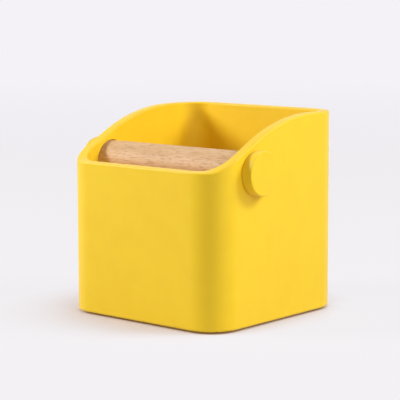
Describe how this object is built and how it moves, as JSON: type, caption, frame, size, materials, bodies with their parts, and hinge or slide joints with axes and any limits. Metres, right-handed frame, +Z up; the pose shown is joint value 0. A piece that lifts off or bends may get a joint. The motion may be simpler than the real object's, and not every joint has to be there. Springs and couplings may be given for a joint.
{
  "type": "espresso knock box",
  "caption": "Cube-shaped espresso knock box: thick-walled moulded bin with a low front and S-curved sides, a round wooden bar across it and round end caps.",
  "frame": {"origin": "on the surface that the box stands on, under the middle of the bin", "axes": "+Z up, the low front faces -Y, +X to the right along the bar"},
  "size_m": [0.1338, 0.12, 0.1212],
  "materials": {
    "moulded_plastic": "fine satin texture, yellow",
    "beech": "sanded beech, lightly oiled",
    "steel": "zinc-plated steel",
    "brass": "turned brass",
    "rubber": "matte black rubber"
  },
  "bodies": {
    "bin": {"body_shell": "moulded_plastic", "foot_front_left": "rubber", "foot_front_right": "rubber", "foot_back_left": "rubber", "foot_back_right": "rubber"},
    "rod": {"tie_rod": "steel"},
    "bar": {"knock_bar": "beech"},
    "left_washer_body": {"left_washer": "rubber"},
    "left_cap_body": {"left_cap": "moulded_plastic", "left_insert": "brass"},
    "right_washer_body": {"right_washer": "rubber"},
    "right_cap_body": {"right_cap": "moulded_plastic", "right_insert": "brass"}
  },
  "joints": [
    {"name": "bar_withdraw", "type": "slide", "parent": "bin", "child": "rod", "axis": [1, 0, 0], "range_m": [0, 0.13]},
    {"name": "bar_spin", "type": "hinge", "parent": "rod", "child": "bar", "pos_m": [0, -0.024, 0.09021], "axis": [1, 0, 0], "continuous": true},
    {"name": "left_cap_travel", "type": "slide", "parent": "bin", "child": "left_washer_body", "axis": [-1, 0, 0], "range_m": [0, 0.007]},
    {"name": "left_cap_turn", "type": "hinge", "parent": "left_washer_body", "child": "left_cap_body", "pos_m": [-0.06, -0.024, 0.09021], "axis": [-1, 0, 0], "range_deg": [0, 2520]},
    {"name": "right_cap_travel", "type": "slide", "parent": "rod", "child": "right_washer_body", "axis": [1, 0, 0], "range_m": [0, 0.007]},
    {"name": "right_cap_turn", "type": "hinge", "parent": "right_washer_body", "child": "right_cap_body", "pos_m": [0.06, -0.024, 0.09021], "axis": [1, 0, 0], "range_deg": [0, 2520]}
  ],
  "couplings": [
    {"joint": "left_cap_travel", "follows": "left_cap_turn", "m_per_rad": 0.00015915},
    {"joint": "right_cap_travel", "follows": "right_cap_turn", "m_per_rad": 0.00015915}
  ]
}
